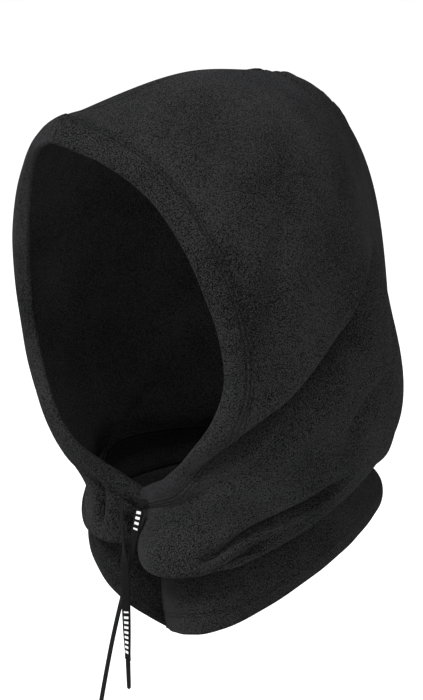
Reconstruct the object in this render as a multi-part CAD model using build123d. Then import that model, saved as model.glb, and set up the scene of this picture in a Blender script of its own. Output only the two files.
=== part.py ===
"""A knitted fleece balaclava hood: two hood panels, a drawcord casing round the face, a neck collar
and the two free ends of a flat drawcord.

Millimetres, +Z up. The wearer faces -Y and the wearer's left is +X. The origin is the top of the
wearer's head, where the crown of the hood rests on it.
"""
import math
import os

import numpy as np
from build123d import *

# ---- driving dimensions ----
FABRIC = 2.4            # thickness of one layer of fleece
SEAM_HALF_GAP = 0.3     # each panel stops this far from the middle plane
LAYER_GAP = 0.4         # clearance between layers sewn together
CASING_FABRIC = 1.6     # the casing strip is a lighter knit
CORD_WIDTH = 6.0        # flat drawcord
CORD_THICKNESS = 1.6
CORD_TUBE = 4.0         # diameter of the plain tube that stands for a free cord end
AGLET_DIAMETER = 3.6
AGLET_LENGTH = 22.0
SEAM_ALLOWANCE = 8.0    # how far a seam's turned-in edges stand inward
SEAM_THICKNESS = 2.6
NECK_INSET = 6.0        # the collar is sewn this far inside the hood's lower edge
NECK_DROP = 4.0         # and this far below it
TAPE_THICKNESS = 1.2
SURFACE_TOLERANCE = 0.05
EXIT_X = 8.5            # the cord leaves the casing this far each side of the middle
EXIT_Y = -73.0
EXIT_Z = -283.0

# Sections of the left hood panel's middle surface, from the face edge back and down to the neck seam.
# Columns: chin, front, jaw, cheek, temple, brow side, top.
LEFT_SECTIONS = [
    # face edge
    [(0, -64, -279), (28, -78, -264), (60, -90, -243), (95, -84, -190),
     (94, -96, -124), (58, -113, -61), (0, -137, -33)],
    # casing stitch line
    [(0, -66, -291), (33, -77, -277), (68, -84, -254), (108, -76, -195),
     (105, -86, -115), (61, -102, -49), (0, -125, -20)],
    # front of the side panel
    [(0, -66, -298), (40, -82, -292), (84, -66, -272), (120, -44, -205),
     (112, -56, -108), (60, -77, -38), (0, -87, -16)],
    # ear
    [(0, -67, -303), (43, -88, -302), (94, -50, -287), (122, -4, -212),
     (110, -16, -100), (58, -24, -29), (0, -28, -4)],
    # behind the ear
    [(0, -68, -307), (44, -91, -309), (97, -44, -295), (120, 26, -222),
     (104, 26, -104), (54, 34, -31), (0, 38, -8)],
    # back of the crown
    [(0, -69, -311), (45, -92, -314), (98, -42, -297), (117, 42, -230),
     (91, 62, -125), (44, 84, -56), (0, 100, -25)],
    # upper back
    [(0, -69, -313), (45, -92, -317), (97, -40, -299), (115, 54, -240),
     (80, 90, -165), (34, 124, -110), (0, 155, -84)],
    # back
    [(0, -69, -314), (45, -91, -319), (95, -38, -300), (109, 56, -250),
     (76, 106, -212), (31, 146, -182), (0, 178, -160)],
    # fullest drape at the back
    [(0, -68, -313), (44, -88, -318), (92, -34, -299), (101, 52, -263),
     (73, 110, -250), (31, 152, -240), (0, 188, -232)],
    # underside of the drape
    [(0, -65, -309), (40, -82, -312), (86, -30, -295), (94, 40, -274),
     (72, 100, -276), (36, 146, -284), (0, 184, -288)],
    # neck seam
    [(0, -60, -301), (30, -68, -298), (76, -38, -288), (90, 16, -275),
     (78, 68, -274), (44, 114, -282), (0, 138, -292)],
]
# The right panel's, with x mirrored.
RIGHT_SECTIONS = [
    # face edge
    [(0, -64, -279), (28, -78, -264), (58, -87, -243), (92, -81, -190),
     (91, -93, -124), (57, -112, -61), (0, -137, -33)],
    # casing stitch line
    [(0, -66, -291), (31, -76, -277), (64, -80, -254), (105, -73, -195),
     (102, -83, -115), (59, -101, -50), (0, -125, -20)],
    # front of the side panel
    [(0, -66, -298), (34, -78, -291), (72, -55, -272), (117, -41, -205),
     (108, -52, -108), (57, -75, -40), (0, -87, -16)],
    # ear
    [(0, -67, -303), (33, -79, -302), (80, -37, -287), (120, -4, -212),
     (108, -16, -100), (56, -24, -31), (0, -28, -4)],
    # behind the ear
    [(0, -68, -307), (32, -80, -308), (82, -30, -295), (120, 26, -222),
     (104, 26, -104), (54, 34, -32), (0, 38, -8)],
    # back of the crown
    [(0, -69, -311), (32, -80, -312), (83, -28, -297), (117, 42, -230),
     (91, 62, -125), (44, 84, -56), (0, 100, -25)],
    # upper back
    [(0, -69, -313), (32, -80, -314), (82, -26, -299), (115, 54, -240),
     (80, 90, -165), (34, 124, -110), (0, 155, -84)],
    # back
    [(0, -69, -314), (32, -79, -315), (81, -25, -299), (109, 56, -250),
     (76, 106, -212), (31, 146, -182), (0, 178, -160)],
    # fullest drape at the back
    [(0, -68, -313), (31, -77, -314), (80, -23, -297), (101, 52, -263),
     (73, 110, -250), (31, 152, -240), (0, 188, -232)],
    # underside of the drape
    [(0, -65, -309), (30, -74, -309), (76, -21, -294), (94, 40, -274),
     (72, 100, -276), (36, 146, -284), (0, 184, -288)],
    # neck seam
    [(0, -60, -301), (26, -66, -298), (70, -30, -288), (88, 16, -275),
     (78, 68, -274), (44, 114, -282), (0, 138, -292)],
]
# The collar's lower edge from the front middle to the back middle: it dips at the wearer's front left.
LEFT_HEM = [(0, -66, -348), (40, -90, -354), (82, -62, -350), (95, 7, -328),
            (80, 72, -317), (47, 126, -314), (0, 148, -312)]
RIGHT_HEM = [(0, -66, -348), (30, -77, -341), (75, -46, -329), (93, 10, -322),
             (80, 72, -317), (47, 124, -314), (0, 148, -312)]
# Places along a section and along the panel, counted in columns and rows of the sections above.
TOP = 6.0
PANEL_START = 0.78
NECK = 10.0
CASING_END = 1.02
CORD_ROW = 0.47         # the drawcord's middle inside the casing
CORD_HALF_ROWS = 0.17
EXIT_COLUMN = 0.30

# Routes of the free cord ends, from the exit to the aglet. They cross below the chin.
RIGHT_ROUTE = [(-8.5, -76, -287), (-5.5, -80, -295), (1, -84, -309), (4, -85.5, -330),
               (4.5, -85.5, -360), (4.5, -84.5, -394)]
LEFT_ROUTE = [(8.5, -76, -287), (9, -79, -296), (5, -79.5, -312), (-2, -79, -340),
              (-11, -80, -370), (-17, -83.5, -403), (-22, -86, -434)]


def natural_spline(points):
    """A natural cubic spline through the points at equal steps: a function of 0 to count - 1."""
    knots = np.array(points, float)
    count = len(knots)
    matrix = np.eye(count)
    right = np.zeros_like(knots)
    for i in range(1, count - 1):
        matrix[i, i - 1:i + 2] = (1, 4, 1)
        right[i] = 6 * (knots[i + 1] - 2 * knots[i] + knots[i - 1])
    bend = np.linalg.solve(matrix, right)

    def at(place):
        place = np.clip(np.asarray(place, float), 0, count - 1)
        low = np.minimum(place.astype(int), count - 2)
        t = (place - low)[..., None]
        value = knots[low] * (1 - t) + knots[low + 1] * t
        value = value + ((1 - t) ** 3 - (1 - t)) * bend[low] / 6
        return value + (t ** 3 - t) * bend[low + 1] / 6

    return at


class Cloth:
    """A smooth surface through rows of section points, with offsets along its outward normal."""

    def __init__(self, rows, side=1):
        self.rows = np.array(rows, float) * np.array([side, 1, 1])
        self.side = side
        self.columns = len(rows[0]) - 1
        self.last = len(rows) - 1

    def grid(self, along, across, offset=0.0):
        """Points at every row place in along and column place in across, moved outward by offset."""
        points = self._points(along, across)
        step = 0.02
        low_row = np.clip(np.asarray(along, float) - step, 0, self.last)
        high_row = np.clip(np.asarray(along, float) + step, 0, self.last)
        low_column = np.clip(np.asarray(across, float) - step, 0, self.columns)
        high_column = np.clip(np.asarray(across, float) + step, 0, self.columns)
        down = self._points(high_row, across) - self._points(low_row, across)
        round_ = self._points(along, high_column) - self._points(along, low_column)
        normal = np.cross(down, round_) * self.side
        normal /= np.linalg.norm(normal, axis=-1, keepdims=True)
        # in the middle plane the offset is a mitre, so that both sides meet there
        middle = (np.asarray(across) < 1e-6) | (np.asarray(across) > self.columns - 1e-6)
        normal[:, middle, 0] = 0
        normal[:, middle] /= np.sum(normal[:, middle] ** 2, axis=-1, keepdims=True)
        points = points + normal * np.reshape(offset, (-1, 1, 1))
        points[..., 0] += self.side * SEAM_HALF_GAP
        return points

    def _points(self, along, across):
        sections = np.array([natural_spline(row)(across) for row in self.rows])
        columns = [natural_spline(sections[:, k])(along) for k in range(sections.shape[1])]
        return np.stack(columns, axis=1)


def surface(points):
    """A face through a grid of points."""
    rows = [[Vector(*point) for point in row] for row in points]
    return Face.make_surface_from_array_of_points(rows, tol=SURFACE_TOLERANCE, min_deg=3)


def slab(outer, inner):
    """The closed solid between two grids of points that match one to one."""
    outer_face = surface(outer)
    inner_face = surface(inner)
    sides = []
    for outer_edge, inner_edge in zip(outer_face.edges(), inner_face.edges()):
        sides.append(Face.make_surface_from_curves(outer_edge, inner_edge))
    return Solid(Shell([outer_face, inner_face, *sides]))


def save(node, shape):
    """Write one node's STEP file and print its volume."""
    shape.label = node
    export_step(shape, f"parts/{node}.step")
    print(f"{node}: {shape.volume / 1000:.2f} cm3")


def steps(start, end, count):
    return np.linspace(start, end, count)


def hood_panel(cloth):
    along = steps(PANEL_START, NECK, 20)
    across = steps(0, TOP, 15)
    return slab(cloth.grid(along, across, FABRIC / 2), cloth.grid(along, across, -FABRIC / 2))


def face_casing(cloth):
    """A strip folded over the panel's front edge, with room for the drawcord inside the fold."""
    across = steps(0, TOP, 19)
    inner_leg = FABRIC / 2 + LAYER_GAP
    outer_leg = inner_leg + CASING_FABRIC
    folds = []
    for leg in (outer_leg, inner_leg):
        outer_rows = steps(CASING_END, 0.22, 5)
        turn = steps(0, math.pi, 7)[1:-1]
        reach = leg / 15.5
        places = [*outer_rows, *(0.2 - reach * np.sin(turn)), *outer_rows[::-1]]
        offsets = [*[leg] * 5, *(leg * np.cos(turn)), *[-leg] * 5]
        folds.append((places, offsets))
    layers = []
    for places, offsets in folds:
        rows = []
        for place, offset in zip(places, offsets):
            base = cloth.grid([max(place, 0)], across, offset)[0]
            if place < 0:
                ahead = cloth.grid([0], across)[0] - cloth.grid([0.1], across)[0]
                base = base + ahead * (-place / 0.1)
            rows.append(base)
        layers.append(np.array(rows))
    return slab(layers[0], layers[1])


def casing_drawcord(left, right):
    """The flat cord inside the casing, from one exit over the brow to the other."""
    along = steps(CORD_ROW - CORD_HALF_ROWS, CORD_ROW + CORD_HALF_ROWS, 4)
    across = steps(EXIT_COLUMN, TOP, 17)
    skins = []
    for offset in (CORD_THICKNESS / 2, -CORD_THICKNESS / 2):
        left_half = left.grid(along, across, offset)
        right_half = right.grid(along, across, offset)
        skins.append(np.concatenate([left_half, right_half[:, -2::-1]], axis=1))
    return slab(skins[0], skins[1])


def seam_strip(cloth, along, column, start):
    """The turned-in edges of two panels: a strip in the middle plane, standing inward."""
    line = cloth.grid(along, [column])[:, 0]
    inward = cloth.grid(along, [column], -1.0)[:, 0] - line
    line[:, 0] = 0
    skins = []
    for x in (SEAM_THICKNESS / 2, -SEAM_THICKNESS / 2):
        rows = [line + inward * depth for depth in steps(start, start + SEAM_ALLOWANCE, 3)]
        rows = np.array(rows)
        rows[..., 0] = x
        skins.append(rows)
    return slab(skins[0], skins[1])


def buttonhole(side):
    """The stitched rim of the slot where the cord leaves the casing."""
    rim = extrude(SlotOverall(CORD_WIDTH + 5, 5.4), 1.2)
    slot = extrude(SlotOverall(CORD_WIDTH + 2, 2.6), 1.2)
    ring = rim - slot
    place = Location((side * EXIT_X, EXIT_Y + 0.7, EXIT_Z + 0.7), (52, 0, side * 12))
    return place * ring


def collar_rows(neck, hem):
    """Sections of the collar: neck seam, under the drape, fullness, hem."""
    neck = np.array(neck, float)
    hem = np.array(hem, float)
    middle = np.array([0, 34, 0])
    away = (neck - middle) * np.array([1, 1, 0])
    away /= np.linalg.norm(away, axis=1, keepdims=True)
    seam = neck - away * NECK_INSET - np.array([0, 0, NECK_DROP])
    under = seam * 0.62 + hem * 0.38 - away * 3.5
    full = seam * 0.28 + hem * 0.72 + away * 1.0
    full[0] = seam[0] * 0.28 + hem[0] * 0.72
    return [seam, under, full, hem]


def collar_panel(cloth):
    along = steps(0, 3, 9)
    across = steps(0, TOP, 15)
    return slab(cloth.grid(along, across, FABRIC / 2), cloth.grid(along, across, -FABRIC / 2))


def collar_layer(cloth, start, end, thickness):
    """A band sewn to the collar's inner face, between two places down the collar."""
    along = steps(start, end, 6)
    across = steps(0, TOP, 15)
    near = -FABRIC / 2 - LAYER_GAP
    return slab(cloth.grid(along, across, near), cloth.grid(along, across, near - thickness))


def cord_tube(route):
    """Straight runs joined by tangent arcs, each as large as its two runs allow."""
    points = [Vector(*p) for p in route]
    radii = []
    for before, corner, after in zip(points, points[1:], points[2:]):
        first = corner - before
        second = after - corner
        half_turn = math.radians(first.get_angle(second)) / 2
        radii.append(0.45 * min(first.length, second.length) / math.tan(half_turn))
    print("radii", [round(r, 1) for r in radii])
    path = FilletPolyline(*points, radius=radii)
    start = Plane(origin=points[0], z_dir=points[1] - points[0])
    tube = sweep(start * Circle(CORD_TUBE / 2), path=path)
    ratio = tube.volume / (math.pi * CORD_TUBE ** 2 / 4 * path.length)
    print(f"cord length {path.length:.1f}, volume over section times length {ratio:.4f}")
    return tube


def aglet(route):
    """The hard tip crimped on the end of the cord."""
    end = Vector(*route[-1])
    direction = (end - Vector(*route[-2])).normalized()
    start = Plane(origin=end + direction * 0.01, z_dir=direction)
    body = extrude(start * Circle(AGLET_DIAMETER / 2), AGLET_LENGTH)
    tip = body.faces().sort_by(Axis.Z)[0]
    return chamfer(tip.edges(), 0.6)


os.makedirs("parts", exist_ok=True)
left = Cloth(LEFT_SECTIONS)
right = Cloth(RIGHT_SECTIONS, side=-1)
left_collar = Cloth(collar_rows(LEFT_SECTIONS[-1], LEFT_HEM))
right_collar = Cloth(collar_rows(RIGHT_SECTIONS[-1], RIGHT_HEM), side=-1)

save("left_hood_panel", hood_panel(left))
save("right_hood_panel", hood_panel(right))
save("left_face_casing", face_casing(left))
save("right_face_casing", face_casing(right))
save("casing_drawcord", casing_drawcord(left, right))
save("crown_seam", seam_strip(left, steps(1.4, 9.2, 14), TOP, 4.0))
save("chin_seam", seam_strip(left, steps(1.3, 2.4, 5), 0, 2.6))
save("left_buttonhole", buttonhole(1))
save("right_buttonhole", buttonhole(-1))

save("left_collar_panel", collar_panel(left_collar))
save("right_collar_panel", collar_panel(right_collar))
save("left_hem_turnup", collar_layer(left_collar, 2.1, 2.97, FABRIC))
save("right_hem_turnup", collar_layer(right_collar, 2.1, 2.97, FABRIC))
save("left_neck_tape", collar_layer(left_collar, 0.05, 0.9, TAPE_THICKNESS))
save("right_neck_tape", collar_layer(right_collar, 0.05, 0.9, TAPE_THICKNESS))
save("collar_front_seam", seam_strip(left_collar, steps(1.05, 1.95, 5), 0, 2.0))
save("collar_back_seam", seam_strip(left_collar, steps(1.05, 1.95, 5), TOP, 2.4))

save("right_drawcord_end", cord_tube(RIGHT_ROUTE))
save("right_aglet", aglet(RIGHT_ROUTE))
save("left_drawcord_end", cord_tube(LEFT_ROUTE))
save("left_aglet", aglet(LEFT_ROUTE))
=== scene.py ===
"""Looks of the balaclava: fleece hood, drawcord casing, collar, cord ends, stitching, light and camera.

Shapes are worked out in millimetres in the part's own frame and put into Blender in metres.
"""
import math

import bpy
import numpy as np
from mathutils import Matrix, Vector

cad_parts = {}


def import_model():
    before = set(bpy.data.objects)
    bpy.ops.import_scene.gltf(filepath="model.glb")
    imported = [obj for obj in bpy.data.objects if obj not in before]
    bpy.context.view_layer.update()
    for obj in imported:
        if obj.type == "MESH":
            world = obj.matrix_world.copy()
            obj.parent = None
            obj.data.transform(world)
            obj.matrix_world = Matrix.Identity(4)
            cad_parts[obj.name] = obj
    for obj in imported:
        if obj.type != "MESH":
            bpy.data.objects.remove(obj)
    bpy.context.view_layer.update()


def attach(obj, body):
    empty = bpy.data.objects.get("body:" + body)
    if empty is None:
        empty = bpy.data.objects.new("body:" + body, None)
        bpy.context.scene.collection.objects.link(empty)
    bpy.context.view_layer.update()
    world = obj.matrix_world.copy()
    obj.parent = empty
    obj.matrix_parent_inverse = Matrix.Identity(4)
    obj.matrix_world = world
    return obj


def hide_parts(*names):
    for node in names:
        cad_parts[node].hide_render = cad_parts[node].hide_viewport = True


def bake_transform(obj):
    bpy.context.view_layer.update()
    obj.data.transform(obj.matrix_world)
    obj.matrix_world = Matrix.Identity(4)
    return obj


MM = 0.001

# ---- driving dimensions, in millimetres ----
FLEECE = 2.0                # thickness of one layer of the hood
CASING_SKIN = 1.0           # thickness of the casing strip
CASING_REACH = 2.05         # from the cloth's middle to the casing's outer face
CASING_PUFF = 0.7           # how far the cord inside swells the casing
CASING_PRESS = 0.75         # depth of the grooves under the casing's stitches
COLLAR_SKIN = 1.3           # thickness of one layer of the collar
COLLAR_REACH = 1.5          # from the cloth's middle to the collar's outer face
COLLAR_PRESS = 0.4          # depth of the grooves under the hem's stitches
TAPE_FACES = (0.1, -0.9)    # the neck tape's two faces, outward from the collar's middle
STITCH_LENGTH = 2.6
STITCH_PITCH = 3.4
STITCH_LIFT = 0.05          # how far the thread's middle lies off the cloth
HEM_STITCHES = (12.0, 10.0)     # heights above the hem
THREAD = 0.45               # diameter of the sewing thread
CORD_WIDTH = 6.0
CORD_THICKNESS = 1.5
DASH_PITCH = 3.7            # from one printed dash to the next
DASH_LENGTH = 1.8
DASH_SHARE = 0.22           # how far a dash reaches from the cord's middle, as a share of the width
SEAM_DIP = 0.8              # how far the cloth sinks at a seam
SEAM_HALF_WIDTH = 1.3       # how far from a seam the cloth still sinks
SEAM_HALF_GAP = 0.05        # from the middle plane to each hood panel
SEAM_STRIP = 2.0            # thickness of the pressed seam edges
COLUMN_WIDTH_TOP = 60.0     # width of the last column beside the crown seam
COLUMN_WIDTH_CHIN = 40.0    # width of the first column beside the chin seam
NECK_INSET = 2.4            # how far inside the hood the collar starts
NECK_RISE = 1.2             # how far above the hood's edge it starts
FLOOR = -475.0

# ---- places on the cloth: rows run from the face edge to the neck, columns from the chin to the top ----
TOP = 6.0                   # the last column
NECK = 10.0                 # the hood's last row
PANEL_START = 0.9           # row where the hood panel begins, under the casing
CASING_END = 1.0            # row where the casing ends
STITCH_ROWS = (0.95, 0.83)  # rows of the casing's stitches
CORD_ROWS = (0.30, 0.62)    # rows between which the hidden cord lies
CORD_START = 0.30           # column where the hidden cord begins
TURN_UP = 2.2               # row of the collar from which its hem is doubled
HEM = 3.0                   # the collar's last row
CROWN_ROUNDING = 0.4        # 0 leaves a ridge where the two sides meet at the top, 1 a smooth arch

# ---- how finely the shapes are cut ----
PANEL_ROWS = 200
PANEL_COLUMNS = 220
CASING_COLUMNS = 340
CORD_SIDES = 20

# ---- light ----
WORLD_LIGHT = 1.0
KEY_POWER = 38.0
FILL_POWER = 7.0

# ---- camera ----
VIEW_AZIMUTH = 45.0
VIEW_ELEVATION = 16.0
FOCAL = 100.0
DISTANCE = 1322.0
TARGET = (0.0, 0.0, -194.0)

# Sections of the left panel's middle surface, from the face edge back and down to the neck seam.
# Columns: chin, front, jaw, cheek, temple, brow side, top.
LEFT_SECTIONS = [
    # face edge
    [(0, -64, -279), (28, -78, -264), (60, -90, -243), (95, -84, -190),
     (94, -96, -124), (58, -113, -61), (0, -137, -33)],
    # casing stitch line
    [(0, -66, -291), (33, -77, -277), (68, -84, -254), (108, -76, -195),
     (105, -86, -115), (61, -102, -49), (0, -125, -20)],
    # front of the side panel
    [(0, -66, -298), (40, -82, -292), (84, -66, -272), (120, -44, -205),
     (112, -56, -108), (60, -77, -38), (0, -87, -16)],
    # ear
    [(0, -67, -303), (43, -88, -302), (94, -50, -287), (122, -4, -212),
     (110, -16, -100), (58, -24, -29), (0, -28, -4)],
    # behind the ear
    [(0, -68, -307), (44, -91, -309), (97, -44, -295), (120, 26, -222),
     (104, 26, -104), (54, 34, -31), (0, 38, -8)],
    # back of the crown
    [(0, -69, -311), (45, -92, -314), (98, -42, -297), (117, 42, -230),
     (91, 62, -125), (44, 84, -56), (0, 100, -25)],
    # upper back
    [(0, -69, -313), (45, -92, -317), (97, -40, -299), (115, 54, -240),
     (80, 90, -165), (34, 124, -110), (0, 155, -84)],
    # back
    [(0, -69, -314), (45, -91, -319), (95, -38, -300), (109, 56, -250),
     (76, 106, -212), (31, 146, -182), (0, 178, -160)],
    # fullest drape at the back
    [(0, -68, -313), (44, -88, -318), (92, -34, -299), (101, 52, -263),
     (73, 110, -250), (31, 152, -240), (0, 188, -232)],
    # underside of the drape
    [(0, -65, -309), (40, -82, -312), (86, -30, -295), (94, 40, -274),
     (72, 100, -276), (36, 146, -284), (0, 184, -288)],
    # neck seam
    [(0, -60, -301), (30, -68, -298), (76, -38, -288), (90, 16, -275),
     (78, 68, -274), (44, 114, -282), (0, 138, -292)],
]
# The right panel's, with x mirrored.
RIGHT_SECTIONS = [
    # face edge
    [(0, -64, -279), (25, -78, -263), (54, -88, -240), (88, -80, -190),
     (84, -90, -122), (52, -110, -60), (0, -137, -33)],
    # casing stitch line
    [(0, -66, -291), (31, -77, -277), (65, -83, -253), (103, -75, -195),
     (100, -86, -117), (62, -104, -56), (0, -125, -20)],
    # front of the side panel
    [(0, -66, -298), (34, -78, -291), (72, -55, -272), (117, -38, -205),
     (110, -50, -108), (59, -74, -40), (0, -87, -16)],
    # ear
    [(0, -67, -303), (33, -79, -302), (80, -37, -287), (120, -4, -212),
     (108, -16, -100), (56, -24, -31), (0, -28, -4)],
    # behind the ear
    [(0, -68, -307), (32, -80, -308), (84, -37, -295), (120, 26, -222),
     (104, 26, -104), (54, 34, -32), (0, 38, -8)],
    # back of the crown
    [(0, -69, -311), (32, -80, -312), (85, -37, -297), (117, 42, -230),
     (91, 62, -125), (44, 84, -56), (0, 100, -25)],
    # upper back
    [(0, -69, -313), (32, -80, -314), (85, -36, -299), (115, 54, -240),
     (80, 90, -165), (34, 124, -110), (0, 155, -84)],
    # back
    [(0, -69, -314), (32, -79, -315), (84, -35, -299), (109, 56, -250),
     (76, 106, -212), (31, 146, -182), (0, 178, -160)],
    # fullest drape at the back
    [(0, -68, -313), (31, -77, -314), (83, -34, -297), (102, 52, -267),
     (73, 110, -250), (31, 152, -240), (0, 188, -232)],
    # underside of the drape
    [(0, -65, -309), (30, -74, -309), (83, -33, -288), (95, 40, -281),
     (73, 101, -284), (36, 146, -289), (0, 184, -288)],
    # neck seam
    [(0, -60, -301), (30, -66, -290), (78, -30, -281), (91, 16, -280),
     (81, 70, -285), (44, 116, -289), (0, 138, -292)],
]
LEFT_HEM = [(0, -42, -384), (48, -77, -362), (82, -62, -350), (95, 7, -328),
            (80, 72, -317), (47, 126, -314), (0, 148, -312)]
RIGHT_HEM = [(0, -42, -384), (26, -70, -354), (75, -46, -329), (93, 10, -322),
             (80, 72, -317), (47, 124, -314), (0, 148, -312)]

# Soft folds: points on the surface, then in millimetres the width of the side that faces up and forward, the
# width of the other side, the depth of the valley, and how far the cloth stands out above and below it.
LEFT_FOLDS = [
    # main drape from the back of the head to the chin
    ([(96, 62, -114), (110, 40, -131), (117, 23, -145), (121, 9, -156), (124, -8, -165), (125, -22, -175),
      (124, -37, -187), (120, -52, -200), (112, -65, -211), (97, -77, -226), (80, -85, -238),
      (66, -87, -248)],
     5.6, 10.5, 25.0, 3.0, 2.0),
    # crease under the main drape
    ([(122, -40, -206), (116, -52, -217), (106, -61, -232), (92, -72, -245), (73, -82, -257),
      (52, -83, -269)], 2.8, 5.0, 4.0, 1.2, 1.5),
    # hollow behind the roll at the back
    ([(100, 74, -160), (112, 56, -190), (120, 30, -205), (122, 14, -217), (121, 2, -232)],
     5.0, 10.0, 7.5, 2.0, 1.0),
    # edge of the roll at the back
    ([(78, 88, -118), (94, 76, -140), (106, 68, -165), (114, 58, -190), (117, 52, -215)],
     8.0, 7.0, 5.5, 2.5, 0.5),
    # soft upright hollows on the side
    ([(102, -42, -80), (110, -53, -99), (116, -64, -121), (119, -67, -146), (118, -70, -168)],
     6.5, 8.5, 3.4, 0.5, 0.6),
    ([(72, 51, -61), (89, 29, -71), (101, 13, -84), (108, 0, -100)], 7.0, 8.0, 2.0, 0.3, 0.3),
    # fold low on the drape
    ([(66, -80, -308), (76, -72, -303), (84, -64, -295), (94, -53, -285), (106, -34, -276),
      (112, -17, -270), (115, -4, -264), (115, 8, -260)], 2.0, 4.0, 9.0, 3.2, 1.0),
    # pocket below it
    ([(74, -74, -313), (82, -67, -307), (89, -59, -301), (97, -47, -291)], 2.5, 3.0, 6.0, 0.8, 0.8),
    # puckers on the crown beside the seam
    ([(-26, 55, -17), (0, 58, -11), (22, 64, -18), (40, 74, -34)], 3.5, 5.0, 3.2, 0.8, 1.4),
    ([(-20, 110, -38), (0, 113, -32), (16, 114, -42), (26, 112, -54)], 3.0, 4.0, 2.4, 0.6, 1.2),
]
RIGHT_FOLDS = [
    ([(-100, 60, -140), (-118, 20, -170), (-124, -18, -190), (-112, -50, -214), (-90, -70, -238)],
     12.0, 14.0, 2.5, 1.0, 1.0),
    ([(-90, 84, -170), (-108, 66, -205), (-112, 50, -236)], 10.0, 13.0, 5.0, 2.0, 2.0),
    # upright tuck beside the chin
    ([(-34, -72, -272), (-27, -77, -285), (-25, -80, -298), (-24, -82, -308)],
     3.0, 3.0, 5.0, 1.2, 1.2),
    ([(-70, -48, -286), (-60, -58, -300), (-44, -70, -309), (-26, -78, -316)], 3.0, 4.0, 3.5, 1.0, 1.0),
    # puckers on the crown beside the seam
    ([(-40, 66, -32), (-22, 56, -17), (0, 58, -11), (22, 64, -18)], 3.5, 5.0, 3.2, 0.8, 1.4),
    ([(-26, 108, -52), (-16, 110, -40), (0, 113, -32), (16, 114, -42)], 3.0, 4.0, 2.4, 0.6, 1.2),
]

LEFT_COLLAR_FOLDS = [
    ([(70, 96, -296), (66, 104, -302), (62, 108, -309)], 2.5, 3.5, 2.5, 0.6, 0.6),
]
RIGHT_COLLAR_FOLDS = [
    ([(-62, -48, -296), (-66, -50, -310), (-68, -50, -322)], 4.0, 5.0, 2.5, 0.6, 0.6),
]

# Routes of the free cord ends, from the buttonhole to the aglet.
RIGHT_ROUTE = [(-8.5, -76, -287), (-5.5, -80, -295), (1, -84, -309), (4, -85.5, -330), (4.5, -85.5, -360),
               (4.5, -84.5, -394)]
LEFT_ROUTE = [(8.5, -76, -287), (9, -79, -296), (5, -79.5, -312), (-2, -79, -340), (-11, -80, -370),
              (-17, -83.5, -403), (-22, -86, -434)]
# How each cord turns: share of its length, degrees from its width facing the viewer's right.
RIGHT_TURNS = [(0, 75), (0.28, 80), (0.38, 10), (0.62, 0), (0.95, 50), (1, 50)]
LEFT_TURNS = [(0, 20), (0.1, 25), (0.24, 70), (1, 66)]
# The printed part of each cord, in millimetres from the buttonhole.
RIGHT_PRINT = (74, 106)
LEFT_PRINT = (1, 14)

# Fabrics: material name, linear colour deep in the pile, colour of its tips, weight of the sheen.
FABRICS = {
    "fleece": ("fleece_outside", (0.0020, 0.0020, 0.0021), (0.0215, 0.0215, 0.0219), 0.015),
    "inside": ("fleece_inside", (0.005, 0.005, 0.0053), (0.028, 0.028, 0.0289), 0.02),
    "lining": ("collar_inside", (0.0012, 0.0012, 0.0013), (0.008, 0.008, 0.0083), 0.005),
    "casing": ("casing_knit", (0.0022, 0.0022, 0.0023), (0.0200, 0.0200, 0.0204), 0.015),
    # The collar's fleece has darker tips than the hood's fleece: painted shade for the collar lying low under
    # the drape.
    "collar": ("collar_fleece_painted_shade", (0.0020, 0.0020, 0.0021), (0.0175, 0.0175, 0.0178), 0.015),
    "tape": ("neck_tape", (0.001, 0.001, 0.0011), (0.006, 0.006, 0.0062), 0.005),
}


# ---- surfaces ----
def natural_spline(points):
    """A natural cubic spline through the points at equal steps: a function of 0 to count - 1."""
    knots = np.array(points, float)
    count = len(knots)
    matrix = np.eye(count)
    right = np.zeros_like(knots)
    for i in range(1, count - 1):
        matrix[i, i - 1:i + 2] = (1, 4, 1)
        right[i] = 6 * (knots[i + 1] - 2 * knots[i] + knots[i - 1])
    bend = np.linalg.solve(matrix, right.reshape(count, -1)).reshape(knots.shape)

    def at(place):
        place = np.clip(np.asarray(place, float), 0, count - 1)
        low = np.minimum(place.astype(int), count - 2)
        t = (place - low).reshape(place.shape + (1,) * (knots.ndim - 1))
        value = knots[low] * (1 - t) + knots[low + 1] * t
        value = value + ((1 - t) ** 3 - (1 - t)) * bend[low] / 6
        return value + (t ** 3 - t) * bend[low + 1] / 6

    return at


def unit(vectors):
    """Each vector at length 1."""
    return vectors / np.maximum(np.linalg.norm(vectors, axis=-1, keepdims=True), 1e-9)


def grid_normals(points, side):
    """Outward normals of a grid of surface points. side is 1 on the left and -1 on the right."""
    down = np.gradient(points, axis=0)
    across = np.gradient(points, axis=1)
    return unit(np.cross(down, across)) * side


def mitre(normals):
    """In the middle plane an offset keeps to the plane, so that both sides meet there."""
    normals = normals.copy()
    for column in (0, -1):
        edge = normals[:, column]
        edge[:, 0] = 0
        edge /= np.maximum(np.sum(edge ** 2, axis=-1, keepdims=True), 0.3)
    return normals


class Cloth:
    """A smooth surface through rows of section points, with soft folds along its outward normal."""

    def __init__(self, rows, side=1, folds=()):
        self.rows = np.array(rows, float) * np.array([side, 1, 1])
        self.side = side
        self.folds = folds

    def base(self, along, across):
        """The surface without folds. For the arch, each section runs on over the top into the other side."""
        mirrored = self.rows[:, -2:-5:-1] * np.array([-1, 1, 1])
        longer = np.concatenate([self.rows, mirrored], axis=1)
        ridge = np.stack([natural_spline(row)(across) for row in self.rows])
        arch = np.stack([natural_spline(row)(across) for row in longer])
        return natural_spline(ridge + (arch - ridge) * CROWN_ROUNDING)(along)

    def surface(self, along, across):
        """Points and outward normals with the folds in place."""
        points = self.base(along, across)
        if self.folds:
            moved = fold_depth(points, self.folds, self.side)
            points = points + grid_normals(points, self.side) * moved[..., None]
        return points, grid_normals(points, self.side)


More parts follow.
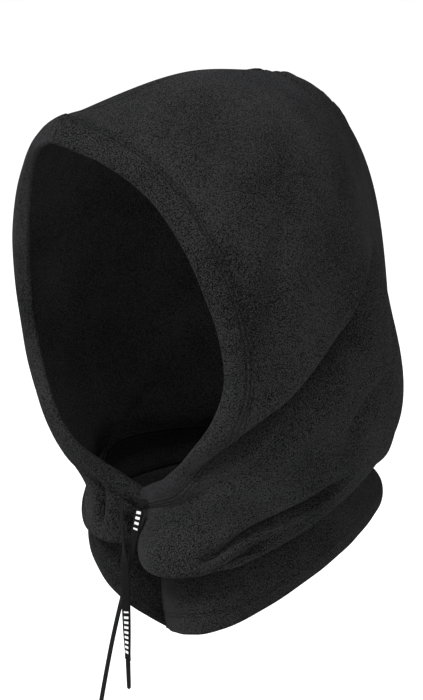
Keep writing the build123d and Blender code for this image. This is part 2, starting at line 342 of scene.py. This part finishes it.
def fold_depth(points, folds, side):
    """How far each point moves outward (or, below 0, inward) because of the folds."""
    flat = points.reshape(-1, 3)
    outward = unit(flat - np.array([0, 20, -170]))
    moved = np.zeros(len(flat))
    for path, upper, lower, depth, upper_lift, lower_lift in folds:
        line = natural_spline(path)(np.linspace(0, len(path) - 1, 6 * len(path)))
        tangents = unit(np.gradient(line, axis=0))
        away = np.full(len(flat), 1e9)
        nearest = np.zeros(len(flat), int)
        for k, spot in enumerate(line):
            distance = np.linalg.norm(flat - spot, axis=1)
            closer = distance < away
            away[closer] = distance[closer]
            nearest[closer] = k
        above = np.sum(np.cross(tangents[nearest], outward) * (flat - line[nearest]), axis=1) * side > 0
        signed = np.where(above, away / upper, -away / lower)
        ends = np.sin(np.pi * (nearest + 0.5) / len(line)) ** 0.6
        shape = -depth * np.exp(-signed ** 2)
        shape = shape + upper_lift * np.exp(-((signed - 2.2) / 1.2) ** 2)
        shape = shape + lower_lift * np.exp(-((signed + 2.2) / 1.2) ** 2)
        moved += shape * ends
    return moved.reshape(points.shape[:-1])


def new_mesh(name, points, faces, material, smooth=True):
    """A mesh object from points in millimetres, with one material or several."""
    mesh = bpy.data.meshes.new(name)
    mesh.from_pydata((np.asarray(points, float) * MM).tolist(), [], faces)
    mesh.update()
    for face in mesh.polygons:
        face.use_smooth = smooth
    piece = bpy.data.objects.new(name, mesh)
    bpy.context.scene.collection.objects.link(piece)
    materials = material if isinstance(material, (list, tuple)) else [material]
    for one in materials:
        mesh.materials.append(one)
    return piece


def slab_faces(rows, columns, flip):
    """Faces of a closed slab: an outer grid, an inner grid and the rim between them."""
    count = rows * columns
    index = np.arange(count).reshape(rows, columns)
    a, b, c, d = index[:-1, :-1], index[1:, :-1], index[1:, 1:], index[:-1, 1:]
    outer = np.stack([a, b, c, d], axis=-1).reshape(-1, 4)
    inner = outer[:, ::-1] + count
    border = np.concatenate([index[0, :], index[1:, -1], index[-1, -2::-1], index[-2:0:-1, 0]])
    after = np.roll(border, -1)
    rim = np.stack([border, after, after + count, border + count], axis=-1)
    faces = np.concatenate([outer, inner, rim])
    if flip:
        faces = faces[:, ::-1]
    return faces.tolist(), len(outer)


def slab(name, outer, inner, side, outside, inside):
    """A closed piece of fabric between two grids of points, with a material for each face."""
    rows, columns = outer.shape[:2]
    faces, count = slab_faces(rows, columns, side < 0)
    points = np.concatenate([outer.reshape(-1, 3), inner.reshape(-1, 3)])
    piece = new_mesh(name, points, faces, [outside, inside])
    for face in piece.data.polygons[count:2 * count]:
        face.material_index = 1
    return piece


def folded_edge(name, cloth, rows, back, across, half, thickness, outside, inside):
    """A strip of fabric folded round an edge of the cloth, which is the last of the rows.

    The outer leg covers all the rows and the inner leg those from the one numbered back.
    half gives, for rows and columns, how far the strip's outer face lies from the cloth's middle.
    """
    falling = rows[0] > rows[-1]
    points, normals = cloth.surface(np.sort(rows), across)
    if falling:
        points = points[::-1]
        normals = normals[::-1]
    normals = mitre(normals)
    ahead = unit(points[-1] - points[-4])
    reach = half(rows, across)
    skins = []
    for inset in (0.0, thickness):
        rise = (reach - inset)[..., None]
        radius = rise[-1]
        turn = []
        for angle in np.linspace(0, math.pi, 11)[1:-1]:
            spoke = normals[-1] * math.cos(angle) + ahead * math.sin(angle)
            turn.append(points[-1] + radius * spoke)
        under = (points - normals * rise)[back:][::-1]
        skins.append(np.concatenate([points + normals * rise, np.array(turn), under]))
    return slab(name, skins[0], skins[1], -cloth.side if falling else cloth.side, outside, inside)


def tubes(name, lines, material):
    """Many short closed tubes in one mesh. Each is (centres, radii, side vectors, up vectors)."""
    segments = 6
    turn = np.linspace(0, 2 * math.pi, segments, endpoint=False)
    points = []
    faces = []
    for centres, radii, across, up in lines:
        first = len(points)
        for centre, radius, a, b in zip(centres, radii, across, up):
            for angle in turn:
                points.append(centre + radius * (a * math.cos(angle) + b * math.sin(angle)))
        rings = len(centres)
        for k in range(rings - 1):
            for m in range(segments):
                n = (m + 1) % segments
                low = first + k * segments
                faces.append([low + m, low + n, low + segments + n, low + segments + m])
        faces.append([first + m for m in range(segments)][::-1])
        faces.append([first + (rings - 1) * segments + m for m in range(segments)])
    return new_mesh(name, points, faces, material)


def stitches(name, rows_of_points, rows_of_normals, material):
    """Running stitches along lines of surface points: each a small rounded thread lying in the cloth."""
    lines = []
    places = np.array([-0.5, -0.42, -0.2, 0.2, 0.42, 0.5])
    swell = np.array([0.25, 0.8, 1.0, 1.0, 0.8, 0.25])
    lift = np.array([-0.25, -0.02, 0.1, 0.1, -0.02, -0.25])
    for points, normals in zip(rows_of_points, rows_of_normals):
        lengths = np.concatenate([[0], np.cumsum(np.linalg.norm(np.diff(points, axis=0), axis=1))])
        count = int(lengths[-1] / STITCH_PITCH)
        for k in range(count):
            along = (k + 0.5) * STITCH_PITCH + places * STITCH_LENGTH
            centres = np.stack([np.interp(along, lengths, points[:, axis]) for axis in range(3)], axis=1)
            up = unit(np.stack([np.interp(along, lengths, normals[:, axis]) for axis in range(3)], axis=1))
            tangent = unit(np.gradient(centres, axis=0))
            lines.append((centres + up * lift[:, None], swell * THREAD / 2, np.cross(tangent, up), up))
    return tubes(name, lines, material)


def strip(name, line, inward, start, depth, thickness, material):
    """Two turned-in seam edges pressed together: a strip in the middle plane that stands inward."""
    taper = np.array([0.7, 1, 1, 1, 1, 0.6])
    skins = []
    for x in (thickness / 2, -thickness / 2):
        rows = np.array([line + inward * (start + depth * k / 5) for k in range(6)])
        rows[..., 0] = x * taper[:, None]
        skins.append(rows)
    return slab(name, skins[0], skins[1], 1, material, material)


# ---- materials ----
def graph(name):
    """A new material with its node tree and its shader."""
    material = bpy.data.materials.new(name)
    material.use_nodes = True
    tree = material.node_tree
    shader = tree.nodes["Principled BSDF"]
    return material, tree, shader


def noise(tree, scale, detail=2.0, roughness=0.5, stretch=(1, 1, 1)):
    """Noise in metres of the part's own frame."""
    place = tree.nodes.new("ShaderNodeTexCoord")
    mapping = tree.nodes.new("ShaderNodeMapping")
    mapping.inputs["Scale"].default_value = stretch
    texture = tree.nodes.new("ShaderNodeTexNoise")
    texture.inputs["Scale"].default_value = scale
    texture.inputs["Detail"].default_value = detail
    texture.inputs["Roughness"].default_value = roughness
    tree.links.new(place.outputs["Object"], mapping.inputs["Vector"])
    tree.links.new(mapping.outputs["Vector"], texture.inputs["Vector"])
    return texture.outputs["Fac"]


def combine(tree, operation, first, second):
    """A math node on two values, each a number or another node's output."""
    node = tree.nodes.new("ShaderNodeMath")
    node.operation = operation
    for socket, value in zip(node.inputs, (first, second)):
        if isinstance(value, (int, float)):
            socket.default_value = value
        else:
            tree.links.new(value, socket)
    return node.outputs[0]


def ramp(tree, factor, low, high, dark, light):
    """Colour that goes from dark to light while the factor goes from low to high."""
    node = tree.nodes.new("ShaderNodeValToRGB")
    node.color_ramp.elements[0].position = low
    node.color_ramp.elements[1].position = high
    node.color_ramp.elements[0].color = (*dark, 1)
    node.color_ramp.elements[1].color = (*light, 1)
    tree.links.new(factor, node.inputs["Fac"])
    return node.outputs["Color"]


def bump(tree, shader, height, strength, distance):
    node = tree.nodes.new("ShaderNodeBump")
    node.inputs["Strength"].default_value = strength
    node.inputs["Distance"].default_value = distance
    tree.links.new(height, node.inputs["Height"])
    tree.links.new(node.outputs["Normal"], shader.inputs["Normal"])


def fleece(name, dark, light, sheen):
    """Brushed fleece: a short matted pile in soft clumps, with a fuzz that catches light at the edges."""
    material, tree, shader = graph(name)
    clumps = noise(tree, 1250, 2, 0.6)
    pile = noise(tree, 2100, 2, 0.6)
    wear = noise(tree, 22, 2, 0.5)
    clump_share = combine(tree, "MULTIPLY", clumps, 0.62)
    pile_share = combine(tree, "MULTIPLY", pile, 0.26)
    wear_share = combine(tree, "MULTIPLY", wear, 0.12)
    mottle = combine(tree, "ADD", combine(tree, "ADD", clump_share, pile_share), wear_share)
    tree.links.new(ramp(tree, mottle, 0.44, 0.555, dark, light), shader.inputs["Base Color"])
    shader.inputs["Roughness"].default_value = 1.0
    shader.inputs["Specular IOR Level"].default_value = 0.0
    shader.inputs["Sheen Weight"].default_value = sheen
    shader.inputs["Sheen Roughness"].default_value = 0.55
    shader.inputs["Sheen Tint"].default_value = (0.8, 0.82, 0.9, 1)
    height = combine(tree, "ADD", clumps, combine(tree, "MULTIPLY", pile, 0.5))
    bump(tree, shader, height, 0.7, 0.0009)
    return material


def thread_material():
    """Dark twisted sewing thread."""
    material, tree, shader = graph("sewing_thread")
    twist = noise(tree, 3000, 1, 0.5)
    colour = ramp(tree, twist, 0.3, 0.7, (0.003, 0.003, 0.003), (0.009, 0.009, 0.009))
    tree.links.new(colour, shader.inputs["Base Color"])
    shader.inputs["Roughness"].default_value = 0.85
    shader.inputs["Specular IOR Level"].default_value = 0.05
    bump(tree, shader, twist, 0.4, 0.0002)
    return material


def woven(name, dark, light, pitch):
    """A tight flat weave on the cord's UV map: u across it and v along it, both in millimetres."""
    material, tree, shader = graph(name)
    place = tree.nodes.new("ShaderNodeUVMap")
    parts = tree.nodes.new("ShaderNodeSeparateXYZ")
    tree.links.new(place.outputs["UV"], parts.inputs["Vector"])
    across = combine(tree, "MULTIPLY", parts.outputs["X"], 2 * math.pi / pitch)
    along = combine(tree, "MULTIPLY", parts.outputs["Y"], 2 * math.pi / pitch)
    warp = combine(tree, "SINE", combine(tree, "ADD", across, along), 0)
    weft = combine(tree, "SINE", combine(tree, "SUBTRACT", across, along), 0)
    braid = combine(tree, "MULTIPLY", warp, weft)
    height = combine(tree, "ADD", combine(tree, "MULTIPLY", braid, 0.4), noise(tree, 1600, 2, 0.5))
    tree.links.new(ramp(tree, height, 0.2, 0.9, dark, light), shader.inputs["Base Color"])
    shader.inputs["Roughness"].default_value = 0.95
    shader.inputs["Specular IOR Level"].default_value = 0.02
    bump(tree, shader, height, 0.6, 0.0003)
    return material


def moulded(name):
    """Dull black plastic with fine draw marks along it."""
    material, tree, shader = graph(name)
    marks = noise(tree, 900, 2, 0.5, (1, 1, 0.08))
    colour = ramp(tree, marks, 0.3, 0.7, (0.0012, 0.0012, 0.0013), (0.004, 0.004, 0.0043))
    tree.links.new(colour, shader.inputs["Base Color"])
    shader.inputs["Roughness"].default_value = 0.3
    shader.inputs["Specular IOR Level"].default_value = 0.08
    bump(tree, shader, marks, 0.15, 0.0001)
    return material


def white_stage():
    """A floor that stays white up to the horizon."""
    material, tree, shader = graph("white_stage")
    cloud = noise(tree, 3, 1, 0.5)
    colour = ramp(tree, cloud, 0.2, 0.8, (0.63, 0.63, 0.63), (0.67, 0.67, 0.67))
    tree.links.new(colour, shader.inputs["Base Color"])
    shader.inputs["Roughness"].default_value = 0.9
    shader.inputs["Specular IOR Level"].default_value = 0.0
    shader.inputs["Emission Color"].default_value = (1, 1, 1, 1)
    shader.inputs["Emission Strength"].default_value = 0.38
    return material


# ---- camera, light and floor ----
def direction(azimuth, elevation):
    """Unit vector from the object towards a viewer at that azimuth and elevation."""
    a = math.radians(azimuth)
    e = math.radians(elevation)
    return Vector((math.sin(a) * math.cos(e), -math.cos(a) * math.cos(e), math.sin(e)))


def make_camera():
    data = bpy.data.cameras.new("camera")
    data.lens = FOCAL
    data.sensor_width = 36.0
    data.clip_end = 20.0
    camera = bpy.data.objects.new("camera", data)
    bpy.context.scene.collection.objects.link(camera)
    back = direction(VIEW_AZIMUTH, VIEW_ELEVATION)
    camera.location = (Vector(TARGET) + back * DISTANCE) * MM
    camera.rotation_euler = back.to_track_quat("Z", "Y").to_euler()
    bpy.context.scene.camera = camera


def softbox(name, azimuth, elevation, distance, size, power):
    """A round area light that faces the object. distance and size are in metres."""
    data = bpy.data.lights.new(name, "AREA")
    data.shape = "DISK"
    data.size = size
    data.energy = power
    lamp = bpy.data.objects.new(name, data)
    bpy.context.scene.collection.objects.link(lamp)
    towards = direction(azimuth, elevation)
    lamp.location = towards * distance + Vector(TARGET) * MM
    lamp.rotation_euler = towards.to_track_quat("Z", "Y").to_euler()


def make_stage():
    corners = ((-4000, -4000), (4000, -4000), (4000, 4000), (-4000, 4000))
    floor_points = [(x, y, FLOOR) for x, y in corners]
    floor = new_mesh("floor", floor_points, [[0, 1, 2, 3]], white_stage(), smooth=False)
    world = bpy.context.scene.world or bpy.data.worlds.new("world")
    bpy.context.scene.world = world
    world.use_nodes = True
    background = world.node_tree.nodes["Background"]
    background.inputs["Color"].default_value = (1, 1, 1, 1)
    background.inputs["Strength"].default_value = WORLD_LIGHT
    softbox("key_light", -18, 50, 1.6, 0.7, KEY_POWER)
    softbox("fill_light", 64, 24, 1.6, 1.0, FILL_POWER)
    view = bpy.context.scene.view_settings
    view.view_transform = "Standard"
    view.look = "None"
    view.exposure = 0.0


# ---- cords ----
def route_points(name, route):
    """The smooth line through a cord's route: a NURBS spline with the route as its control points."""
    curve = bpy.data.curves.new(name, "CURVE")
    curve.dimensions = "3D"
    curve.resolution_u = 24
    spline = curve.splines.new("NURBS")
    spline.points.add(len(route) - 1)
    for point, place in zip(spline.points, route):
        point.co = (*(coordinate * MM for coordinate in place), 1)
    spline.order_u = 3
    spline.use_endpoint_u = True
    holder = bpy.data.objects.new(name, curve)
    bpy.context.scene.collection.objects.link(holder)
    mesh = bpy.data.meshes.new_from_object(holder)
    points = np.array([vertex.co[:] for vertex in mesh.vertices]) / MM
    bpy.data.objects.remove(holder)
    return points


def flat_cord(name, route, turns, printed_part, materials):
    """A flat woven cord along its route, with its second material on the printed dashes."""
    points = route_points(name + "_line", route)
    lengths = np.concatenate([[0], np.cumsum(np.linalg.norm(np.diff(points, axis=0), axis=1))])
    count = int(lengths[-1] / 0.6)
    along = np.linspace(0, lengths[-1], count)
    centres = np.stack([np.interp(along, lengths, points[:, axis]) for axis in range(3)], axis=1)
    tangent = unit(np.gradient(centres, axis=0))
    shares, angles = np.array(turns).T
    angle = np.radians(np.interp(along / lengths[-1], shares, angles))
    smooth = np.ones(9) / 9
    angle = np.convolve(np.pad(angle, 4, mode="edge"), smooth, mode="valid")[:, None]
    width = np.cos(angle) * np.array([0.707, 0.707, 0]) + np.sin(angle) * np.array([0.707, -0.707, 0])
    width = unit(width - tangent * np.sum(width * tangent, axis=1, keepdims=True))
    thick = np.cross(tangent, width)
    outline = []
    for k in range(CORD_SIDES):
        turn = 2 * math.pi * k / CORD_SIDES
        u = math.copysign(abs(math.cos(turn)) ** 0.55, math.cos(turn)) * CORD_WIDTH / 2
        v = math.copysign(abs(math.sin(turn)) ** 0.7, math.sin(turn)) * CORD_THICKNESS / 2
        outline.append((u, v))
    rings = []
    for u, v in outline:
        rings.append(centres + width * u + thick * v)
    rings = np.stack(rings, axis=1)
    faces = []
    marks = []
    print_from, print_to = printed_part
    for i in range(count - 1):
        ring = i * CORD_SIDES
        in_dash = (along[i] - print_from) % DASH_PITCH < DASH_LENGTH
        for k in range(CORD_SIDES):
            n = (k + 1) % CORD_SIDES
            faces.append([ring + k, ring + n, ring + CORD_SIDES + n, ring + CORD_SIDES + k])
            middle = (outline[k][0] + outline[n][0]) / 2
            in_print = print_from < along[i] < print_to and abs(middle) < CORD_WIDTH * DASH_SHARE
            marks.append(in_print and in_dash)
    faces.append(list(range(CORD_SIDES))[::-1])
    faces.append([(count - 1) * CORD_SIDES + k for k in range(CORD_SIDES)])
    marks += [False, False]
    piece = new_mesh(name, rings.reshape(-1, 3), faces, materials)
    layer = piece.data.uv_layers.new(name="UVMap")
    for face, printed in zip(piece.data.polygons, marks):
        face.material_index = int(printed)
        for corner, vertex in zip(face.loop_indices, face.vertices):
            layer.data[corner].uv = (outline[vertex % CORD_SIDES][0], along[vertex // CORD_SIDES])
    return piece, centres * MM


def aglet(name, route, material):
    """The hard tip: a crimped, slightly waisted tube with a rounded end, turned about the cord's line."""
    end = np.array(route[-1], float)
    axis = unit(end - np.array(route[-2], float))
    side = unit(np.cross(axis, (1.0, 0.3, 0)))
    up = np.cross(axis, side)
    profile = [(0.0, 0.6), (0.0, 1.45), (0.25, 1.68), (1.2, 1.72), (1.6, 1.55), (2.0, 1.55), (2.4, 1.68),
               (8, 1.6), (16, 1.52), (20.6, 1.45), (21.4, 1.2), (21.8, 0.8), (22.0, 0.3)]
    segments = 32
    points = []
    faces = []
    for place, radius in profile:
        for k in range(segments):
            turn = 2 * math.pi * k / segments
            points.append(end + axis * place + radius * (side * math.cos(turn) + up * math.sin(turn)))
    for i in range(len(profile) - 1):
        for k in range(segments):
            n = (k + 1) % segments
            faces.append([i * segments + k, i * segments + n, (i + 1) * segments + n, (i + 1) * segments + k])
    faces.append(list(range(segments))[::-1])
    faces.append([(len(profile) - 1) * segments + k for k in range(segments)])
    return new_mesh(name, points, faces, material)


def make_cord(side, route, turns, printed_part, looks):
    """A free cord end with its aglet."""
    body = side + "_cord"
    piece, path = flat_cord(body, route, turns, printed_part, [looks["cord"], looks["print"]])
    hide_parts(side + "_drawcord_end")
    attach(piece, body)
    tip = aglet(side + "_tip", route, looks["aglet"])
    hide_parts(side + "_aglet")
    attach(tip, body)


# ---- hood ----
def across_columns(count):
    """Column places, a little closer together near the seams at both ends."""
    even = np.linspace(0, 1, count)
    return TOP * (even - 0.035 * np.sin(2 * math.pi * even) / (2 * math.pi) * 2)


def seam_dip(across):
    """How far the cloth sinks beside the seams in the middle plane."""
    near_top = (TOP - across) * COLUMN_WIDTH_TOP / SEAM_HALF_WIDTH
    near_chin = across * COLUMN_WIDTH_CHIN / SEAM_HALF_WIDTH
    return SEAM_DIP * (np.exp(-near_top ** 2) + 0.8 * np.exp(-near_chin ** 2))


def hood_panel(side, cloth, looks):
    along = np.linspace(PANEL_START, NECK, PANEL_ROWS)
    across = across_columns(PANEL_COLUMNS)
    points, normals = cloth.surface(along, across)
    normals = mitre(normals)
    dip = seam_dip(across)[None, :, None]
    outer = points + normals * (FLEECE / 2 - dip)
    inner = points - normals * (FLEECE / 2)
    outer[:, (0, -1), 0] = SEAM_HALF_GAP * cloth.side
    inner[:, (0, -1), 0] = SEAM_HALF_GAP * cloth.side
    piece = slab(side + "_hood", outer, inner, cloth.side, looks["fleece"], looks["inside"])
    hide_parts(side + "_hood_panel")
    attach(piece, "hood")
    return piece


def casing_half(rows, across):
    """Half the casing's thickness: a soft tunnel over the cord, grooves at the stitches, small gathers."""
    r = rows[:, None]
    c = across[None, :]
    tunnel = CASING_PUFF * np.exp(-((r - 0.42) / 0.26) ** 2)
    press = sum(CASING_PRESS * np.exp(-((r - row) / 0.03) ** 2) for row in STITCH_ROWS)
    gather = np.exp(-((c - TOP) / 0.75) ** 2) * 0.2 * np.sin(c * 19.0) + 0.12 * np.sin(c * 11.0 + 1.0)
    gather = gather * np.clip(1 - r, 0, 1) ** 0.5
    return CASING_REACH + tunnel - press + gather


def casing(side, cloth, looks):
    """The strip folded round the face edge, with its two stitch rows."""
    rows = np.concatenate([np.linspace(CASING_END, 0.78, 26), np.linspace(0.76, 0.0, 24)])
    across = across_columns(CASING_COLUMNS)
    piece = folded_edge(side + "_casing", cloth, rows, 0, across, casing_half, CASING_SKIN,
                        looks["casing"], looks["inside"])
    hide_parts(side + "_face_casing")
    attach(piece, "hood")
    lines = []
    ups = []
    points, normals = cloth.surface(np.array([0.7, *STITCH_ROWS[::-1], CASING_END]), across)
    lift = casing_half(np.array(STITCH_ROWS[::-1]), across) + STITCH_LIFT
    for k in (0, 1):
        lines.append(points[k + 1] + normals[k + 1] * lift[k][:, None])
        ups.append(normals[k + 1])
    sewing = stitches(side + "_casing_stitches", lines, ups, looks["thread"])
    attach(sewing, "hood")
    return piece, sewing


def cord_in_casing(left, right, looks):
    """The hidden run of the cord, from one buttonhole over the top to the other."""
    across = np.linspace(CORD_START, TOP, 160)
    skins = []
    for offset in (CORD_THICKNESS / 2, -CORD_THICKNESS / 2):
        halves = []
        for cloth in (left, right):
            points, normals = cloth.surface(np.linspace(*CORD_ROWS, 7), across)
            halves.append(points + mitre(normals) * offset)
        skins.append(np.concatenate([halves[0], halves[1][:, -2::-1]], axis=1))
    piece = slab("cord_in_casing", skins[0], skins[1], 1, looks["cord"], looks["cord"])
    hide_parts("casing_drawcord")
    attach(piece, "hood")
    return piece


def buttonhole(side, sign, looks):
    """Satin stitches round the slot where the cord leaves the casing."""
    tilt = math.radians(52)
    turn = math.radians(12 * sign)
    lines = []
    count = 44
    middle = np.array([sign * 8.5, -72.6, -282.6])
    for k in range(count):
        angle = 2 * math.pi * k / count
        long_way = np.array([math.cos(turn), math.sin(turn), 0])
        face = np.array([math.sin(turn) * math.sin(tilt), -math.sin(tilt) * math.cos(turn), math.cos(tilt)])
        short_way = np.cross(face, long_way)
        out = unit(long_way * math.cos(angle) / 4.6 + short_way * math.sin(angle) / 2.0)
        spot = middle + long_way * math.cos(angle) * 4.0 + short_way * math.sin(angle) * 1.2
        arch = ((-0.75, 0.1), (-0.4, 0.42), (0.4, 0.42), (0.75, 0.1))
        ends = np.array([spot + out * reach + face * height for reach, height in arch])
        sideways = np.cross(face, out)
        lines.append((ends, np.array([0.15, 0.3, 0.3, 0.15]), np.array([sideways] * 4), np.array([face] * 4)))
    piece = tubes(side + "_eyelet", lines, looks["thread"])
    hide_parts(side + "_buttonhole")
    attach(piece, "hood")
    return piece


def middle_seam(name, node, cloth, along, column, depth, looks, ride):
    """The pressed edges of a seam in the middle plane, at the first or the last column."""
    points, normals = cloth.surface(along, np.array([column - 0.02, column] if column else [0, 0.02]))
    end = -1 if column else 0
    inward = -normals[:, end]
    inward[:, 0] = 0
    line = points[:, end].copy()
    line[:, 0] = 0
    piece = strip(name, line, unit(inward), 1.0, depth, SEAM_STRIP, looks["inside"])
    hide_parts(node)
    ride(piece)


# ---- collar ----
def ride_hood(piece):
    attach(piece, "hood")


def hang_collar(piece):
    """The collar is sewn to the hood at its top; here the piece is attached to nothing and only has its
    transform baked into its mesh.
    """
    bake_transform(piece)


def collar_rows(neck, hem):
    """Sections of the collar: neck seam, under the drape, fullness, hem."""
    neck = np.array(neck, float)
    hem = np.array(hem, float)
    away = (neck - np.array([0, 34, 0])) * np.array([1, 1, 0])
    away /= np.linalg.norm(away, axis=1, keepdims=True)
    seam = neck - away * NECK_INSET + np.array([0, 0, NECK_RISE])
    under = seam * 0.62 + hem * 0.38 - away * 3.5
    full = seam * 0.28 + hem * 0.72 + away * 1.0
    full[0] = seam[0] * 0.28 + hem[0] * 0.72
    return [seam, under, full, hem]


def collar(side, cloth, looks):
    """One side of the collar, with its hem turned up inside and the two stitch rows that hold it."""
    across = across_columns(PANEL_COLUMNS)
    rows = np.concatenate([np.linspace(0, TURN_UP, 40), np.linspace(TURN_UP + 0.03, HEM, 46)])
    doubled = 38
    last = len(rows) - 1
    points, normals = cloth.surface(rows, across)
    down = np.cumsum(np.linalg.norm(np.diff(points[::-1], axis=0), axis=2), axis=0)[::-1]
    down = np.concatenate([down, np.zeros((1, len(across)))])

    def half(some_rows, some_columns):
        press = np.zeros_like(down)
        for height in HEM_STITCHES:
            press += COLLAR_PRESS * np.exp(-((down - height) / 0.6) ** 2)
        ripple = 0.12 * np.sin(some_columns * 13.0)[None, :] * (some_rows[:, None] / HEM) ** 2
        return COLLAR_REACH - press + ripple

    # The outer face takes the collar fleece, whose darker tips are painted shade.
    piece = folded_edge(side + "_collar", cloth, rows, doubled, across, half, COLLAR_SKIN,
                        looks["collar"], looks["lining"])
    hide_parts(side + "_collar_panel", side + "_hem_turnup")
    hang_collar(piece)
    lines = []
    ups = []
    lift = half(rows, across)
    for height in HEM_STITCHES:
        line = []
        up = []
        for k in range(len(across)):
            place = np.interp(-height, -down[:, k], np.arange(last + 1))
            low = min(int(place), last - 1)
            t = place - low
            here = points[low, k] * (1 - t) + points[low + 1, k] * t
            height_here = lift[low, k] * (1 - t) + lift[low + 1, k] * t
            line.append(here + normals[low, k] * (height_here + STITCH_LIFT))
            up.append(normals[low, k])
        lines.append(np.array(line))
        ups.append(np.array(up))
    sewing = stitches(side + "_hem_stitches", lines, ups, looks["thread"])
    hang_collar(sewing)
    return piece, sewing


def neck_tape(side, cloth, looks):
    """The tape over the neck seam, inside the collar, with a stitch row along each edge."""
    across = across_columns(150)
    points, normals = cloth.surface(np.linspace(0.02, 0.85, 12), across)
    normals = mitre(normals)
    near = points + normals * TAPE_FACES[0]
    far = points + normals * TAPE_FACES[1]
    piece = slab(side + "_tape", near, far, cloth.side, looks["tape"], looks["tape"])
    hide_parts(side + "_neck_tape")
    hang_collar(piece)
    lines = [far[1] - normals[1] * STITCH_LIFT, far[-2] - normals[-2] * STITCH_LIFT]
    sewing = stitches(side + "_tape_stitches", lines, [-normals[1], -normals[-2]], looks["thread"])
    hang_collar(sewing)
    return piece, sewing


def make_seams(cloths, collars, looks):
    """The pressed seam edges: name, node, cloth, rows, column, depth and what the strip moves with."""
    hood = cloths["left"]
    neck = collars["left"]
    collar_part = np.linspace(1.0, 1.95, 12)
    seams = (
        ("crown_seam_strip", "crown_seam", hood, np.linspace(1.3, 9.3, 60), TOP, 8.0, ride_hood),
        ("chin_seam_strip", "chin_seam", hood, np.linspace(1.3, 2.4, 12), 0, 8.0, ride_hood),
        ("collar_front_strip", "collar_front_seam", neck, collar_part, 0, 7.0, hang_collar),
        ("collar_back_strip", "collar_back_seam", neck, collar_part, TOP, 7.0, hang_collar),
    )
    for name, node, cloth, along, column, depth, ride in seams:
        middle_seam(name, node, cloth, along, column, depth, looks, ride)


def main():
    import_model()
    make_camera()
    looks = {
        "cord": woven("black_weave", (0.002, 0.002, 0.0021), (0.013, 0.013, 0.0135), 1.3),
        "print": woven("pale_print", (0.42, 0.42, 0.42), (0.72, 0.72, 0.72), 1.3),
        "aglet": moulded("black_aglet"),
    }
    make_cord("right", RIGHT_ROUTE, RIGHT_TURNS, RIGHT_PRINT, looks)
    make_cord("left", LEFT_ROUTE, LEFT_TURNS, LEFT_PRINT, looks)
    for key, (name, dark, light, sheen) in FABRICS.items():
        looks[key] = fleece(name, dark, light, sheen)
    looks["thread"] = thread_material()
    make_stage()
    cloths = {
        "left": Cloth(LEFT_SECTIONS, 1, LEFT_FOLDS),
        "right": Cloth(RIGHT_SECTIONS, -1, RIGHT_FOLDS),
    }
    collars = {
        "left": Cloth(collar_rows(LEFT_SECTIONS[-1], LEFT_HEM), 1, LEFT_COLLAR_FOLDS),
        "right": Cloth(collar_rows(RIGHT_SECTIONS[-1], RIGHT_HEM), -1, RIGHT_COLLAR_FOLDS),
    }
    make_seams(cloths, collars, looks)
    cord_in_casing(cloths["left"], cloths["right"], looks)
    for side, sign in (("left", 1), ("right", -1)):
        hood_panel(side, cloths[side], looks)
        casing_piece, casing_sewing = casing(side, cloths[side], looks)
        buttonhole(side, sign, looks)
        collar_piece, hem_sewing = collar(side, collars[side], looks)
        tape_piece, tape_sewing = neck_tape(side, collars[side], looks)


main()
